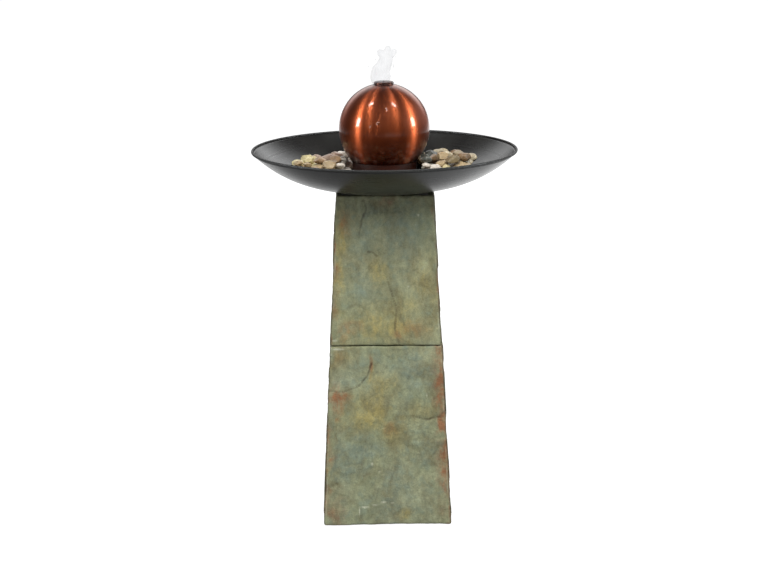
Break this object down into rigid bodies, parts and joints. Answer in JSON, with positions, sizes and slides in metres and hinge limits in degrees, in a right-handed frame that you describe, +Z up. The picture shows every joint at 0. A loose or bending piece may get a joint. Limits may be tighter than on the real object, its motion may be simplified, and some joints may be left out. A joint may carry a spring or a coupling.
{
  "type": "garden fountain",
  "caption": "Garden fountain: a copper ball wells water into a wide dark bowl of river stones on a tapered slate pedestal, with its pump under the ball.",
  "frame": {"origin": "on the floor, at the middle of the pedestal and of the bowl", "axes": "+Z up; -Y is the front, and +Y is the side where the pump's lead leaves"},
  "size_m": [0.508, 0.508, 0.91],
  "materials": {
    "slate": "split natural slate",
    "fibre_cement": "raw board",
    "timber": "sawn, treated",
    "steel": "zinc plated",
    "rubber": "matt",
    "dark_metal": "dark satin patina",
    "copper": "spun copper, wet",
    "brass": "turned",
    "stand_plastic": "moulded",
    "pump_plastic": "moulded",
    "impeller_plastic": "moulded",
    "magnet": "ground ferrite",
    "shaft_ceramic": "polished",
    "vinyl": "clear",
    "river_stone": "rounded, wet",
    "water": "moving water"
  },
  "bodies": {
    "root": {"ball_stand": "stand_plastic", "base_battens": "timber", "bowl": "dark_metal", "bowl_gasket": "rubber", "core_board_front": "fibre_cement", "core_board_left": "fibre_cement", "core_board_rear": "fibre_cement", "core_board_right": "fibre_cement", "deck_screws": "steel", "foot_screws": "steel", "lead_exit_bush": "rubber", "lead_plug": "rubber", "pump_housing": "pump_plastic", "pump_lead_gland": "rubber", "pump_volute_cover": "pump_plastic", "river_pebbles": "river_stone", "rotor_shaft": "shaft_ceramic", "rubber_feet": "rubber", "shaft_bushes": "rubber", "slate_front_lower": "slate", "slate_front_upper": "slate", "slate_left_lower": "slate", "slate_left_upper": "slate", "slate_rear_lower": "slate", "slate_rear_upper": "slate", "slate_right_lower": "slate", "slate_right_upper": "slate", "standpipe": "brass", "standpipe_nut": "brass", "standpipe_seal": "rubber", "standpipe_washer": "steel", "suction_cups": "rubber", "top_battens": "timber", "top_deck": "fibre_cement"},
    "ball": {"ball_shell": "copper", "outlet_nozzle": "copper", "nozzle_seal": "rubber", "nozzle_nut": "brass", "outlet_tube": "vinyl", "water_jet": "water"},
    "rotor": {"rotor_magnet": "magnet", "impeller": "impeller_plastic"},
    "intake_cover": {"pump_intake_cover": "pump_plastic"},
    "flow_dial": {"flow_dial": "pump_plastic"}
  },
  "joints": [
    {"name": "ball_lift", "type": "slide", "parent": "root", "child": "ball", "axis": [0, 0, 1], "range_m": [0, 0.12]},
    {"name": "impeller_spin", "type": "hinge", "parent": "root", "child": "rotor", "pos_m": [0, 0.028, 0.671], "axis": [1, 0, 0], "continuous": true},
    {"name": "intake_cover_pull", "type": "slide", "parent": "root", "child": "intake_cover", "axis": [1, 0, 0], "range_m": [0, 0.008]},
    {"name": "flow_dial_turn", "type": "hinge", "parent": "intake_cover", "child": "flow_dial", "pos_m": [0.023, 0.028, 0.671], "axis": [1, 0, 0], "range_deg": [0, 90]}
  ]
}
